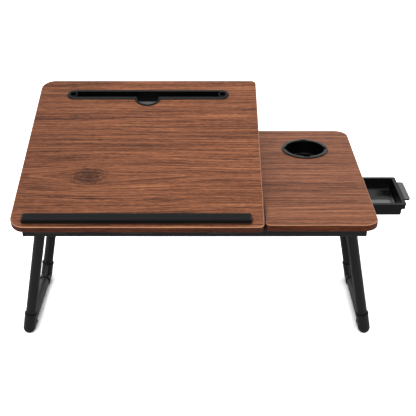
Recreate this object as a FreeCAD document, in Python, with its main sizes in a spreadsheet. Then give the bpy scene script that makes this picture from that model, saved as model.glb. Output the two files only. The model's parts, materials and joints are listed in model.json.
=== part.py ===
"""Folding lap desk with a tilting panel, a fixed shelf with a cup holder and a pull-out drawer.

Each sub-part is drawn in the frame of the body it moves with and then placed:
  base    x from the middle of the top, y from its front edge, z from its top face
  drawer  as base, drawn pushed in, and placed pulled out
  panel   origin on the hinge axis, y up along the panel, z square to it
  prop    origin on the prop's upper rod, y along its arms
  leg     origin on the leg's pivot, z up along the leg
"""
import FreeCAD, Part
import math
import os
import re
import Sketcher

SIZES = {
    # table top
    "top_width": 600.0,
    "top_depth": 400.0,
    "table_height": 280.0,
    "panel_thick": 12.0,
    "shelf_width": 185.0,
    "seam_gap": 1.5,
    "corner_radius": 25.0,
    "seam_corner_radius": 9.0,
    "top_edge_round": 2.2,
    "under_edge_round": 1.2,
    "rebate_depth": 1.0,
    "panel_fit": 0.3,
    # how far the panel stands up, and its hinges
    "tilt": 16.8,
    "pad_gap": 3.0,
    "hinge_setback": 5.0,
    "hinge_width": 50.0,
    "hinge_spacing": 140.0,
    "hinge_leaf_depth": 30.0,
    "hinge_leaf_thick": 1.3,
    "knuckle_radius": 2.6,
    "knuckle_gap": 0.4,
    "hinge_pin_radius": 1.2,
    "running_clearance": 0.05,
    # stopper bar along the front of the panel
    "stopper_length": 372.0,
    "stopper_setback": 9.5,
    "stopper_depth": 15.0,
    "stopper_rise": 9.0,
    "stopper_round": 1.6,
    "stopper_bevel": 3.0,
    # tablet tray let into the back of the panel
    "tray_length": 307.0,
    "tray_width": 28.0,
    "tray_setback": 47.0,
    "tray_rim_rise": 2.0,
    "tray_rim_overlap": 2.0,
    "tray_rim_round": 1.5,
    "tray_depth": 14.0,
    "tray_floor": 2.0,
    "slot_width": 16.5,
    "slot_end": 137.0,
    "pen_offset": 141.7,
    "pen_radius": 6.2,
    "pen_ring_wall": 1.5,
    "pen_ring_rise": 0.5,
    "notch_radius": 24.0,
    "notch_inset": 0.2,
    "notch_wall": 3.0,
    "notch_lip_depth": 4.0,
    # cup holder in the shelf
    "cup_setback": 95.0,
    "cup_radius": 37.5,
    "cup_wall": 1.8,
    "cup_depth": 26.0,
    "cup_floor": 2.0,
    "cup_floor_round": 3.0,
    "ring_radius": 44.0,
    "ring_rise": 2.2,
    "ring_round": 1.0,
    "ring_notch_width": 12.0,
    "ring_notch_depth": 3.2,
    # tube frame under the top
    "rail_width": 20.0,
    "rail_height": 16.0,
    "rail_wall": 1.2,
    "rail_round": 1.5,
    "side_setback": 17.0,
    "front_setback": 17.0,
    "rear_setback": 15.0,
    "cross_rail_setback": 135.0,
    "cap_thick": 3.0,
    "cap_round": 1.4,
    "cap_plug": 8.0,
    "pad_side": 14.0,
    "rest_gap": 0.3,
    "rest_pad_inset": 60.0,
    "shelf_pad_inset": 28.0,
    # prop that holds the panel up
    "prop_droop": 1.75,
    "prop_hang": 1.5,
    "prop_rod_radius": 3.0,
    "prop_half_span": 90.0,
    "prop_tip_gap": 1.0,
    "prop_tip_length": 7.0,
    "prop_tip_radius": 5.0,
    "prop_clip_width": 14.0,
    "prop_clip_depth": 14.0,
    "prop_clip_wall": 1.8,
    "guide_thick": 5.0,
    "guide_gap": 3.0,
    "guide_clearance": 0.4,
    "guide_end_wall": 26.8,
    "tilt_max": 36.0,
    "detent_step": 9.0,
    "detent_depth": 1.2,
    # drawer and its channels
    "drawer_out": 84.0,
    "drawer_length": 168.0,
    "drawer_width": 114.0,
    "drawer_front_y": 137.5,
    "drawer_end_inset": 10.0,
    "drawer_top_drop": 34.0,
    "drawer_height": 25.0,
    "drawer_wall": 2.0,
    "drawer_floor": 2.5,
    "drawer_draft": 5.0,
    "drawer_corner_round": 4.0,
    "drawer_floor_round": 3.0,
    "cavity_corner_round": 4.0,
    "cavity_floor_round": 3.0,
    "rim_thick": 2.0,
    "rim_overhang": 0.8,
    "skirt_height": 9.5,
    "skirt_offset": 4.5,
    "skirt_wall": 1.8,
    "handle_length": 11.0,
    "handle_width": 70.0,
    "handle_thick": 3.0,
    "handle_round": 5.0,
    "channel_wall": 2.0,
    "channel_top": 2.5,
    "channel_cover": 11.0,
    "channel_lip": 6.2,
    "channel_gap": 0.5,
    # folding legs
    "leg_inset": 5.0,
    "leg_front_y": 98.0,
    "leg_rear_y": 278.0,
    "pivot_drop": 44.0,
    "splay": 10.8,
    "tube_radius": 9.5,
    "tube_wall": 1.2,
    "tube_start": 11.0,
    "plug_length": 22.0,
    "head_radius": 8.8,
    "head_width": 17.6,
    "neck_drop": 4.0,
    "leg_pin_radius": 3.0,
    "elbow_radius": 11.0,
    "foot_axis_height": 10.4,
    "elbow_sleeve": 33.0,
    "elbow_reach": 22.0,
    "elbow_core": 12.0,
    "collar_rise": 0.6,
    "collar_length": 3.0,
    "gusset_thick": 6.0,
    "bracket_wall": 2.5,
    "bracket_half_length": 14.0,
    "bracket_drop": 10.0,
    "bracket_round": 7.0,
    "bracket_gap": 0.4,
    "stop_gap": 12.0,
}

DOC = FreeCAD.newDocument("lap_desk")
DIMS = DOC.addObject("Spreadsheet::Sheet", "dims")
for row, (alias, size) in enumerate(SIZES.items(), start=1):
    DIMS.set(f"A{row}", alias)
    DIMS.set(f"B{row}", str(size))
    DIMS.setAlias(f"B{row}", alias)
DOC.recompute()

# Where things are, in the base frame, written with the sheet's names.
SEAM_X = "(top_width / 2 - shelf_width - seam_gap)"
SHELF_X = "(top_width / 2 - shelf_width)"
PANEL_X = "(-(shelf_width + seam_gap) / 2)"
CUP_X = "(top_width / 2 - shelf_width / 2)"
CUP_Y = "(top_depth - cup_setback)"
TRAY_Y = "(top_depth - tray_setback - hinge_setback)"
NOTCH_Y = "(top_depth - tray_setback + tray_width / 2 - notch_inset - notch_radius - hinge_setback)"
RAIL_TOP = "(-panel_thick - pad_gap)"
RAIL_BOTTOM = "(-panel_thick - pad_gap - rail_height)"
FRAME_X = "(top_width / 2 - side_setback)"
FRAME_BACK = "(top_depth - rear_setback)"
FRONT_RAIL_BACK = "(front_setback + rail_width)"
REAR_RAIL_FRONT = "(top_depth - rear_setback - rail_width)"
CROSS_RAIL_BACK = "(cross_rail_setback + rail_width)"
PANEL_TOP = "(pad_gap + panel_thick)"
LEG_X = "(top_width / 2 - side_setback - rail_width / 2 - leg_inset)"
LEG_LENGTH = "((table_height - pivot_drop - foot_axis_height) / cos(splay))"
DRAWER_END = "(top_width / 2 - drawer_end_inset)"
DRAWER_START = f"({DRAWER_END} - drawer_length)"
DRAWER_MID_Y = "(drawer_front_y + drawer_width / 2)"
PROP_REACH = "(prop_rod_radius + guide_clearance)"
PROP_PIVOT_Y = f"(({REAR_RAIL_FRONT} - guide_end_wall - {PROP_REACH} - hinge_setback) / 2)"
PROP_LENGTH = f"({PROP_PIVOT_Y} / cos(prop_droop))"
PROP_DROP = f"(prop_hang + {PROP_LENGTH} * sin(prop_droop))"
PROP_OVERHANG = "(prop_rod_radius + guide_gap + guide_thick + prop_tip_gap + prop_tip_length)"

# The model's origin is under the middle of the whole desk, drawer out, on the floor.
REACH_RIGHT = f"({DRAWER_END} + drawer_out + handle_length)"
REACH_LEFT = f"({LEG_X} + {LEG_LENGTH} * sin(splay) + elbow_radius + collar_rise)"
REACH_FRONT = "((pad_gap + panel_thick - top_edge_round) * sin(tilt) + hinge_setback * (cos(tilt) - 1))"
ORIGIN_X = f"(({REACH_LEFT} - {REACH_RIGHT}) / 2)"
ORIGIN_Y = f"(({REACH_FRONT} - top_depth) / 2)"

WORD = re.compile(r"[a-z][a-z_]*")


def formula(text):
    """Point each of the sheet's names in a formula at the sheet."""
    return WORD.sub(lambda word: f"dims.{word[0]}" if word[0] in SIZES else word[0], text)


def bind(thing, place, text):
    thing.setExpression(place, formula(text))


# ---------------------------------------------------------------- drawing helpers
def new_body(name):
    return DOC.addObject("PartDesign::Body", name)


def sketch_on(body, plane, offset="0"):
    """An empty sketch on one of the body's own origin planes, moved along its normal."""
    sketch = body.newObject("Sketcher::SketchObject", "Sketch")
    origin_plane = next(f for f in body.Origin.OriginFeatures if f.Role == plane)
    sketch.AttachmentSupport = [(origin_plane, "")]
    sketch.MapMode = "FlatFace"
    bind(sketch, "AttachmentOffset.Base.z", offset)
    return sketch


def add_polygon(sketch, corners):
    """A closed outline whose every corner is held at a pair of formulas."""
    count = len(corners)
    first = sketch.GeometryCount
    start = [FreeCAD.Vector(math.cos(turn), math.sin(turn), 0) * 10
             for turn in (math.tau * i / count for i in range(count))]
    for i in range(count):
        sketch.addGeometry(Part.LineSegment(start[i], start[(i + 1) % count]), False)
    for i in range(count):
        sketch.addConstraint(Sketcher.Constraint("Coincident", first + i, 2, first + (i + 1) % count, 1))
    for i, corner in enumerate(corners):
        for kind, now, text in zip(("DistanceX", "DistanceY"), start[i][:2], corner):
            held = sketch.addConstraint(Sketcher.Constraint(kind, -1, 1, first + i, 1, now))
            bind(sketch, f"Constraints[{held}]", text)


def add_box(sketch, x0, x1, y0, y1):
    add_polygon(sketch, [(x0, y0), (x1, y0), (x1, y1), (x0, y1)])


def add_circle(sketch, x, y, radius):
    index = sketch.addGeometry(Part.Circle(FreeCAD.Vector(1, 1, 0), FreeCAD.Vector(0, 0, 1), 1), False)
    for kind, text in (("DistanceX", x), ("DistanceY", y)):
        held = sketch.addConstraint(Sketcher.Constraint(kind, -1, 1, index, 3, 1.0))
        bind(sketch, f"Constraints[{held}]", text)
    held = sketch.addConstraint(Sketcher.Constraint("Radius", index, 1.0))
    bind(sketch, f"Constraints[{held}]", radius)


def feature(body, kind, sketch, length, draft="0"):
    made = body.newObject(f"PartDesign::{kind}", kind)
    made.Profile = sketch
    bind(made, "Length", length)
    if draft != "0":
        bind(made, "TaperAngle", draft)
    return made


def pad(body, sketch, length, draft="0"):
    return feature(body, "Pad", sketch, length, draft)


def pocket(body, sketch, length, draft="0"):
    return feature(body, "Pocket", sketch, length, draft)


def revolve(body, sketch, axis="V_Axis"):
    made = body.newObject("PartDesign::Revolution", "Revolution")
    made.Profile = sketch
    made.ReferenceAxis = (sketch, [axis])
    made.Angle = 360.0
    return made


def dress(body, kind, size_name, size, wanted):
    """Round or bevel the edges of the body's last feature that pass a test."""
    DOC.recompute()
    base = body.Tip
    names = [f"Edge{i}" for i, edge in enumerate(base.Shape.Edges, start=1) if wanted(edge)]
    made = body.newObject(f"PartDesign::{kind}", kind)
    made.Base = (base, names)
    bind(made, size_name, size)
    return made


def round_edges(body, size, wanted):
    return dress(body, "Fillet", "Radius", size, wanted)


def bevel_edges(body, size, wanted):
    return dress(body, "Chamfer", "Size", size, wanted)


def value(name):
    return DIMS.get(name)


def near(a, b):
    return abs(a - b) < 1e-4


def spans(edge, axis):
    """How far an edge's box reaches along x, y or z."""
    return getattr(edge.BoundBox, f"{axis.upper()}Length")


def along(axis):
    """A test for straight edges that run along one axis."""
    others = [a for a in "xyz" if a != axis]
    return lambda edge: spans(edge, axis) > 1e-3 and all(spans(edge, a) < 1e-3 for a in others)


def level_at(z):
    """A test for edges that lie at one height."""
    return lambda edge: near(edge.BoundBox.ZMin, z) and near(edge.BoundBox.ZMax, z)


def all_of(*tests):
    return lambda edge: all(test(edge) for test in tests)


def solid(kind, name, **sizes):
    """A Part primitive with bound sizes; x, y and z place it."""
    made = DOC.addObject(f"Part::{kind}", name)
    for key, text in sizes.items():
        target = f"Placement.Base.{key}" if key in ("x", "y", "z") else key
        bind(made, target, text)
    return made


def block(name, x0, x1, y0, y1, z0, z1):
    return solid("Box", name, Length=f"{x1} - ({x0})", Width=f"{y1} - ({y0})", Height=f"{z1} - ({z0})",
                 x=x0, y=y0, z=z0)


TURNED = {
    "x": FreeCAD.Rotation(FreeCAD.Vector(0, 1, 0), 90),
    "y": FreeCAD.Rotation(FreeCAD.Vector(1, 0, 0), -90),
    "z": FreeCAD.Rotation(),
}


def rod(name, axis, radius, length, x="0", y="0", z="0"):
    """A round bar that starts at x, y, z and runs along one axis."""
    made = DOC.addObject("Part::Cylinder", name)
    made.Placement = FreeCAD.Placement(FreeCAD.Vector(), TURNED[axis])
    for key, text in (("Radius", radius), ("Height", length), ("Placement.Base.x", x),
                      ("Placement.Base.y", y), ("Placement.Base.z", z)):
        bind(made, key, text)
    return made


def fuse(name, pieces):
    made = DOC.addObject("Part::MultiFuse", name)
    made.Shapes = pieces
    made.Refine = True
    return made


def cut(name, base, tool):
    made = DOC.addObject("Part::Cut", name)
    made.Base = base
    made.Tool = tool
    return made


def common(name, first, second):
    made = DOC.addObject("Part::Common", name)
    made.Base = first
    made.Tool = second
    return made


def group(name, pieces):
    """Several separate solids that make one node."""
    made = DOC.addObject("Part::Compound", name)
    made.Links = pieces
    return made


# ---------------------------------------------------------------- frames and nodes
FRAMES = {
    "base": (None, "0", ORIGIN_X, ORIGIN_Y, "table_height"),
    "drawer": (None, "0", f"{ORIGIN_X} + drawer_out", ORIGIN_Y, "table_height"),
    "panel": ((1, 0, 0), "tilt", ORIGIN_X, f"{ORIGIN_Y} + hinge_setback", f"table_height + {RAIL_TOP}"),
    "prop": ((-1, 0, 0), "tilt + prop_droop", ORIGIN_X,
             f"{ORIGIN_Y} + hinge_setback + {PROP_PIVOT_Y} * cos(tilt) + prop_hang * sin(tilt)",
             f"table_height + {RAIL_TOP} + {PROP_PIVOT_Y} * sin(tilt) - prop_hang * cos(tilt)"),
    "left_leg": ((0, 1, 0), "splay", f"{ORIGIN_X} - {LEG_X}", ORIGIN_Y, "table_height - pivot_drop"),
    "right_leg": ((0, -1, 0), "splay", f"{ORIGIN_X} + {LEG_X}", ORIGIN_Y, "table_height - pivot_drop"),
}
NODES = []


def node(name, frame, shape):
    """Name a finished sub-part and stand it in the frame of the body it moves with."""
    axis, angle, x, y, z = FRAMES[frame]
    shape.Label = name
    if axis:
        shape.Placement = FreeCAD.Placement(FreeCAD.Vector(), FreeCAD.Rotation(FreeCAD.Vector(*axis), 1))
        bind(shape, "Placement.Rotation.Angle", angle)
    for key, text in (("x", x), ("y", y), ("z", z)):
        bind(shape, f"Placement.Base.{key}", text)
    NODES.append(shape)


# ---------------------------------------------------------------- wooden top
def rounded_board(name, x0, x1, y0, y1, z0, z1, is_seam_side):
    """A board with large outer corners, small seam corners and rounded edges."""
    body = new_body(name)
    sketch = sketch_on(body, "XY_Plane", z0)
    add_box(sketch, x0, x1, y0, y1)
    pad(body, sketch, f"{z1} - ({z0})")
    round_edges(body, "corner_radius", all_of(along("z"), lambda e: not is_seam_side(e)))
    round_edges(body, "seam_corner_radius", all_of(along("z"), is_seam_side))
    return body


def finish_board(body, z0, z1):
    round_edges(body, "top_edge_round", level_at(z1))
    round_edges(body, "under_edge_round", level_at(z0))


def right_panel():
    seam = value("top_width") / 2 - value("shelf_width")
    body = rounded_board("right_panel", SHELF_X, "top_width / 2", "0", "top_depth",
                         "-panel_thick", "0", lambda e: near(e.BoundBox.XMin, seam))
    finish_board(body, -value("panel_thick"), 0)
    sketch = sketch_on(body, "XY_Plane")
    add_circle(sketch, CUP_X, CUP_Y, "cup_radius + cup_wall + panel_fit")
    pocket(body, sketch, "panel_thick")
    rebate = sketch_on(body, "XY_Plane")
    add_circle(rebate, CUP_X, CUP_Y, "ring_radius + panel_fit")
    pocket(body, rebate, "rebate_depth")
    node("right_panel", "base", body)


def tray_outline(body, z, height, inset, maker):
    """The tray's outline: a bar with round ends and a half moon in front, inset all round."""
    half = f"(tray_length / 2 - {inset})"
    radius = f"(tray_width / 2 - {inset})"
    bar = sketch_on(body, "XY_Plane", z)
    add_box(bar, f"{PANEL_X} - {half} + {radius}", f"{PANEL_X} + {half} - {radius}",
            f"{TRAY_Y} - {radius}", f"{TRAY_Y} + {radius}")
    maker(body, bar, height)
    for side in ("-", "+"):
        end = sketch_on(body, "XY_Plane", z)
        add_circle(end, f"{PANEL_X} {side} ({half} - {radius})", TRAY_Y, radius)
        maker(body, end, height)
    moon = sketch_on(body, "XY_Plane", z)
    add_circle(moon, PANEL_X, NOTCH_Y, f"notch_radius - {inset}")
    maker(body, moon, height)


def left_panel():
    seam = value("top_width") / 2 - value("shelf_width") - value("seam_gap")
    body = rounded_board("left_panel", "-top_width / 2", SEAM_X, "-hinge_setback",
                         "top_depth - hinge_setback", "pad_gap", PANEL_TOP,
                         lambda e: near(e.BoundBox.XMin, seam))
    finish_board(body, value("pad_gap"), value("pad_gap") + value("panel_thick"))
    tray_outline(body, PANEL_TOP, "panel_thick", "tray_rim_overlap", pocket)
    tray_outline(body, PANEL_TOP, "rebate_depth", "(-panel_fit)", pocket)
    groove = sketch_on(body, "XY_Plane", PANEL_TOP)
    bar_outline(groove, "panel_fit")
    pocket(body, groove, "rebate_depth")
    node("left_panel", "panel", body)


def bar_outline(sketch, gap):
    """The footprint of the stopper bar, or of the groove it sits in."""
    half = f"(stopper_length / 2 + {gap})"
    front = "(stopper_setback - hinge_setback)"
    add_box(sketch, f"{PANEL_X} - {half}", f"{PANEL_X} + {half}",
            f"{front} - {gap}", f"{front} + stopper_depth + {gap}")


def stopper_bar():
    body = new_body("stopper_bar")
    sketch = sketch_on(body, "XY_Plane", f"{PANEL_TOP} - rebate_depth")
    bar_outline(sketch, "0")
    pad(body, sketch, "rebate_depth + stopper_rise")
    top = value("pad_gap") + value("panel_thick") + value("stopper_rise")
    bevel_edges(body, "stopper_bevel", all_of(level_at(top), along("y")))
    round_edges(body, "stopper_round", all_of(level_at(top), along("x")))
    round_edges(body, "stopper_round / 2", along("z"))
    node("stopper_bar", "panel", body)


def tablet_tray():
    body = new_body("tablet_tray_body")
    tray_outline(body, f"{PANEL_TOP} - rebate_depth", "rebate_depth + tray_rim_rise", "0", pad)
    round_edges(body, "tray_rim_round",
                level_at(value("pad_gap") + value("panel_thick") + value("tray_rim_rise")))
    tray_outline(body, f"{PANEL_TOP} - tray_depth", "tray_depth", "(tray_rim_overlap + panel_fit)", pad)
    rim = f"({PANEL_TOP} + tray_rim_rise)"
    inside = "tray_depth + tray_rim_rise - tray_floor"
    slot = sketch_on(body, "XY_Plane", rim)
    add_box(slot, f"{PANEL_X} - slot_end", f"{PANEL_X} + slot_end",
            f"{TRAY_Y} - slot_width / 2", f"{TRAY_Y} + slot_width / 2")
    pocket(body, slot, inside)
    holders = sketch_on(body, "XY_Plane", f"{PANEL_TOP} - tray_depth")
    pens = sketch_on(body, "XY_Plane", f"{rim} + pen_ring_rise")
    for side in ("-", "+"):
        add_circle(holders, f"{PANEL_X} {side} pen_offset", TRAY_Y, "pen_radius + pen_ring_wall")
        add_circle(pens, f"{PANEL_X} {side} pen_offset", TRAY_Y, "pen_radius")
    pad(body, holders, "tray_depth + tray_rim_rise + pen_ring_rise")
    pocket(body, pens, f"{inside} + pen_ring_rise")
    scoop = new_body("scoop_slope")
    slope = sketch_on(scoop, "YZ_Plane", f"{PANEL_X} - notch_radius")
    front = f"({NOTCH_Y} - notch_radius)"
    add_polygon(slope, [(front, f"{rim} - notch_lip_depth"),
                        (TRAY_Y, f"{PANEL_TOP} - tray_depth + tray_floor"),
                        (TRAY_Y, rim),
                        (front, rim)])
    pad(scoop, slope, "2 * notch_radius")
    moon = rod("moon", "z", "notch_radius - notch_wall", "tray_depth + tray_rim_rise",
               PANEL_X, NOTCH_Y, f"{PANEL_TOP} - tray_depth")
    tray = cut("tablet_tray", body, common("scoop", scoop, moon))
    node("tablet_tray", "panel", tray)


# ---------------------------------------------------------------- cup holder
def cup_holder():
    tub = new_body("tub")
    profile = sketch_on(tub, "XZ_Plane")
    outer = "(cup_radius + cup_wall)"
    add_polygon(profile, [("0", "-cup_depth - cup_floor"), (outer, "-cup_depth - cup_floor"),
                          (outer, "-rebate_depth"), ("cup_radius", "-rebate_depth"),
                          ("cup_radius", "-cup_depth"),
                          ("0", "-cup_depth")])
    revolve(tub, profile)
    floor = -value("cup_depth")
    round_edges(tub, "cup_floor_round", level_at(floor))
    round_edges(tub, "cup_floor_round", level_at(floor - value("cup_floor")))
    ring = new_body("ring")
    flange = sketch_on(ring, "XY_Plane", "-rebate_depth")
    add_circle(flange, "0", "0", "ring_radius")
    add_circle(flange, "0", "0", "cup_radius")
    pad(ring, flange, "rebate_depth + ring_rise")
    top = value("ring_rise")
    round_edges(ring, "ring_round",
                all_of(level_at(top), lambda e: near(e.Curve.Radius, value("ring_radius"))))
    notches = sketch_on(ring, "XY_Plane", "ring_rise")
    reach = "(cup_radius + ring_notch_depth)"
    add_box(notches, f"-{reach}", reach, "-ring_notch_width / 2", "ring_notch_width / 2")
    pocket(ring, notches, "ring_rise")
    crossed = sketch_on(ring, "XY_Plane", "ring_rise")
    add_box(crossed, "-ring_notch_width / 2", "ring_notch_width / 2", f"-{reach}", reach)
    pocket(ring, crossed, "ring_rise")
    for name, body in (("cup_tub", tub), ("cup_ring", ring)):
        holder = group(name, [body])
        bind(body, "Placement.Base.x", CUP_X)
        bind(body, "Placement.Base.y", CUP_Y)
        node(name, "base", holder)


# ---------------------------------------------------------------- tube frame
def rail_along_x(name, y0, x0, x1):
    body = new_body(name)
    sketch = sketch_on(body, "YZ_Plane", x0)
    add_box(sketch, y0, f"{y0} + rail_width", RAIL_BOTTOM, RAIL_TOP)
    pad(body, sketch, f"{x1} - ({x0})")
    round_edges(body, "rail_round", along("x"))
    hollow = sketch_on(body, "YZ_Plane", x1)
    add_box(hollow, f"{y0} + rail_wall", f"{y0} + rail_width - rail_wall",
            f"{RAIL_BOTTOM} + rail_wall", f"{RAIL_TOP} - rail_wall")
    pocket(body, hollow, f"{x1} - ({x0})")
    node(name, "base", body)


def rail_along_y(name, x0, y0, y1):
    body = new_body(name)
    sketch = sketch_on(body, "XZ_Plane", f"-({y1})")
    add_box(sketch, x0, f"{x0} + rail_width", RAIL_BOTTOM, RAIL_TOP)
    pad(body, sketch, f"{y1} - ({y0})")
    round_edges(body, "rail_round", along("y"))
    hollow = sketch_on(body, "XZ_Plane", f"-({y0})")
    add_box(hollow, f"{x0} + rail_wall", f"{x0} + rail_width - rail_wall",
            f"{RAIL_BOTTOM} + rail_wall", f"{RAIL_TOP} - rail_wall")
    pocket(body, hollow, f"{y1} - ({y0})")
    node(name, "base", body)


def end_cap(side, y0):
    """A moulded cap: a plate the size of the rail and a plug inside it."""
    body = new_body("cap")
    face = f"{FRAME_X} - cap_thick"
    plate = sketch_on(body, "YZ_Plane", face)
    add_box(plate, y0, f"{y0} + rail_width", RAIL_BOTTOM, RAIL_TOP)
    pad(body, plate, "cap_thick")
    outer = value("top_width") / 2 - value("side_setback")
    round_edges(body, "cap_round", along("x"))
    round_edges(body, "cap_round", lambda e: near(e.BoundBox.XMin, outer))
    plug = sketch_on(body, "YZ_Plane", f"{face} - cap_plug")
    add_box(plug, f"{y0} + rail_wall", f"{y0} + rail_width - rail_wall",
            f"{RAIL_BOTTOM} + rail_wall", f"{RAIL_TOP} - rail_wall")
    pad(body, plug, "cap_plug")
    if side == "right":
        return body
    mirrored = DOC.addObject("Part::Mirroring", "cap_mirror")
    mirrored.Source = body
    mirrored.Normal = FreeCAD.Vector(1, 0, 0)
    return mirrored


def frame():
    inner_x = f"({FRAME_X} - rail_width)"
    tube_end = f"({FRAME_X} - cap_thick)"
    rear_y = REAR_RAIL_FRONT
    rail_along_x("front_rail", "front_setback", f"-{tube_end}", tube_end)
    rail_along_x("rear_rail", rear_y, f"-{tube_end}", tube_end)
    rail_along_y("left_side_rail", f"-{FRAME_X}", FRONT_RAIL_BACK, rear_y)
    rail_along_y("right_side_rail", inner_x, FRONT_RAIL_BACK, rear_y)
    rail_along_y("middle_rail", SHELF_X, FRONT_RAIL_BACK, rear_y)
    rail_along_x("cross_rail", "cross_rail_setback", f"-{inner_x}", SHELF_X)
    caps = [end_cap(side, y0) for side in ("left", "right") for y0 in ("front_setback", rear_y)]
    node("rail_end_caps", "base", group("rail_end_caps", caps))


def pads():
    """Soft pads: the panel comes down on the first set, the shelf stands on the second."""
    half = "pad_side / 2"
    front_mid = "(front_setback + rail_width / 2)"
    rear_mid = f"({FRAME_BACK} - rail_width / 2)"
    left_mid = f"(-{FRAME_X} + rail_width / 2)"
    cross_mid = "(cross_rail_setback + rail_width / 2)"
    rest_places = [(left_mid, cross_mid), ("(-top_width / 2 + rest_pad_inset)", rear_mid),
                   (f"({SEAM_X} - rest_pad_inset)", rear_mid), (PANEL_X, cross_mid)]
    rest = [block("rest_pad", f"{x} - {half}", f"{x} + {half}", f"{y} - {half}", f"{y} + {half}",
                  RAIL_TOP, f"{RAIL_TOP} + pad_gap - rest_gap") for x, y in rest_places]
    node("rest_pads", "base", group("rest_pads", rest))
    shelf_left = f"({SHELF_X} + shelf_pad_inset)"
    shelf_right = "(top_width / 2 - shelf_pad_inset)"
    shelf = [block("shelf_pad", f"{x} - {half}", f"{x} + {half}", f"{y} - {half}", f"{y} + {half}",
                   RAIL_TOP, f"{RAIL_TOP} + pad_gap")
             for x in (shelf_left, shelf_right) for y in (front_mid, rear_mid)]
    for x in (f"({SHELF_X} + rail_width / 2)", f"({FRAME_X} - rail_width / 2)"):
        shelf.append(block("shelf_pad", f"{x} - {half}", f"{x} + {half}", f"{DRAWER_MID_Y} - {half}",
                           f"{DRAWER_MID_Y} + {half}", RAIL_TOP, f"{RAIL_TOP} + pad_gap"))
    node("shelf_pads", "base", group("shelf_pads", shelf))


# ---------------------------------------------------------------- panel hinges
def hinge_centres():
    return [f"({PANEL_X} + {step} * hinge_spacing)" for step in (-1, 0, 1)]


def hinge_leaf(centre, middle, leaf_z):
    """One leaf with its barrels; the middle barrel is the moving leaf's, the ends are the fixed one's."""
    quarter = "hinge_width / 4"
    left, right = f"{centre} - hinge_width / 2", f"{centre} + hinge_width / 2"
    inner_left, inner_right = f"{centre} - {quarter}", f"{centre} + {quarter}"
    clear = "knuckle_radius + knuckle_gap"
    plate = block("leaf", left, right, clear, "hinge_leaf_depth", leaf_z, f"{leaf_z} + hinge_leaf_thick")
    if middle:
        barrels = [(f"({inner_left} + knuckle_gap)", f"({inner_right} - knuckle_gap)")]
    else:
        barrels = [(left, inner_left), (inner_right, right)]
    bore = "hinge_pin_radius + running_clearance" if middle else "hinge_pin_radius"
    pieces = [plate]
    for start, stop in barrels:
        pieces.append(rod("barrel", "x", "knuckle_radius", f"{stop} - ({start})", start))
        pieces.append(block("strap", start, stop, "0", clear, leaf_z, f"{leaf_z} + hinge_leaf_thick"))
    whole = fuse("leaf_solid", pieces)
    hole = rod("pin_hole", "x", bore, "hinge_width", left)
    return cut("hinge_leaf", whole, hole)


def hinges():
    upper = [hinge_leaf(centre, True, "(pad_gap - hinge_leaf_thick)") for centre in hinge_centres()]
    node("hinge_leaves_upper", "panel", group("hinge_leaves_upper", upper))
    lower = [hinge_leaf(centre, False, "0") for centre in hinge_centres()]
    pins = [rod("hinge_pin", "x", "hinge_pin_radius", "hinge_width", f"{centre} - hinge_width / 2")
            for centre in hinge_centres()]
    for name, pieces in (("hinge_leaves_lower", lower), ("hinge_pins", pins)):
        shifted = group(name + "_set", pieces)
        bind(shifted, "Placement.Base.y", "hinge_setback")
        bind(shifted, "Placement.Base.z", RAIL_TOP)
        node(name, "base", group(name, [shifted]))


# ---------------------------------------------------------------- prop and its guides
def prop():
    span = "2 * prop_half_span"
    left = f"({PANEL_X} - prop_half_span)"
    right = f"({PANEL_X} + prop_half_span)"
    start = "prop_rod_radius"
    for name, x in (("prop_arm_left", left), ("prop_arm_right", right)):
        arm = rod("arm", "y", "prop_rod_radius", f"{PROP_LENGTH} - 2 * {start}", x, start)
        node(name, "prop", group(name, [arm]))
    top = rod("top_rod", "x", "prop_rod_radius", f"{span} + 2 * prop_rod_radius",
              f"{left} - prop_rod_radius")
    foot = rod("foot_rod", "x", "prop_rod_radius", f"{span} + 2 * {PROP_OVERHANG}",
               f"{left} - {PROP_OVERHANG}", PROP_LENGTH)
    node("prop_top_rod", "prop", group("prop_top_rod", [top]))
    node("prop_foot_rod", "prop", group("prop_foot_rod", [foot]))
    tips = []
    for x in (f"{left} - {PROP_OVERHANG}", f"{right} + {PROP_OVERHANG} - prop_tip_length"):
        tip = rod("tip", "x", "prop_tip_radius", "prop_tip_length", x, PROP_LENGTH)
        hole = rod("tip_hole", "x", "prop_rod_radius", "prop_tip_length", x, PROP_LENGTH)
        tips.append(cut("prop_tip", tip, hole))
    node("prop_tips", "prop", group("prop_tips", tips))


def prop_clips():
    """Two saddles under the panel that the prop's upper rod turns in."""
    clips = []
    for side in ("-", "+"):
        centre = f"({PANEL_X} {side} prop_half_span / 2)"
        body = new_body("prop_clip")
        sketch = sketch_on(body, "YZ_Plane", f"{centre} - prop_clip_width / 2")
        add_box(sketch, f"{PROP_PIVOT_Y} - prop_clip_depth / 2", f"{PROP_PIVOT_Y} + prop_clip_depth / 2",
                "-prop_hang - prop_rod_radius - prop_clip_wall", "pad_gap")
        pad(body, sketch, "prop_clip_width")
        low = -value("prop_hang") - value("prop_rod_radius") - value("prop_clip_wall")
        round_edges(body, "prop_rod_radius", all_of(along("x"), level_at(low)))
        hole = sketch_on(body, "YZ_Plane", f"{centre} + prop_clip_width / 2")
        add_circle(hole, PROP_PIVOT_Y, "-prop_hang", "prop_rod_radius + running_clearance")
        pocket(body, hole, "prop_clip_width")
        clips.append(body)
    node("prop_clips", "panel", group("prop_clips", clips))


def foot_y(angle):
    """How far back of the hinge the prop's foot rod is when the panel stands at an angle."""
    return (f"(2 * {PROP_PIVOT_Y} * cos({angle})"
            f" + (prop_hang - {PROP_LENGTH} * sin(prop_droop)) * sin({angle}))")


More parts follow.
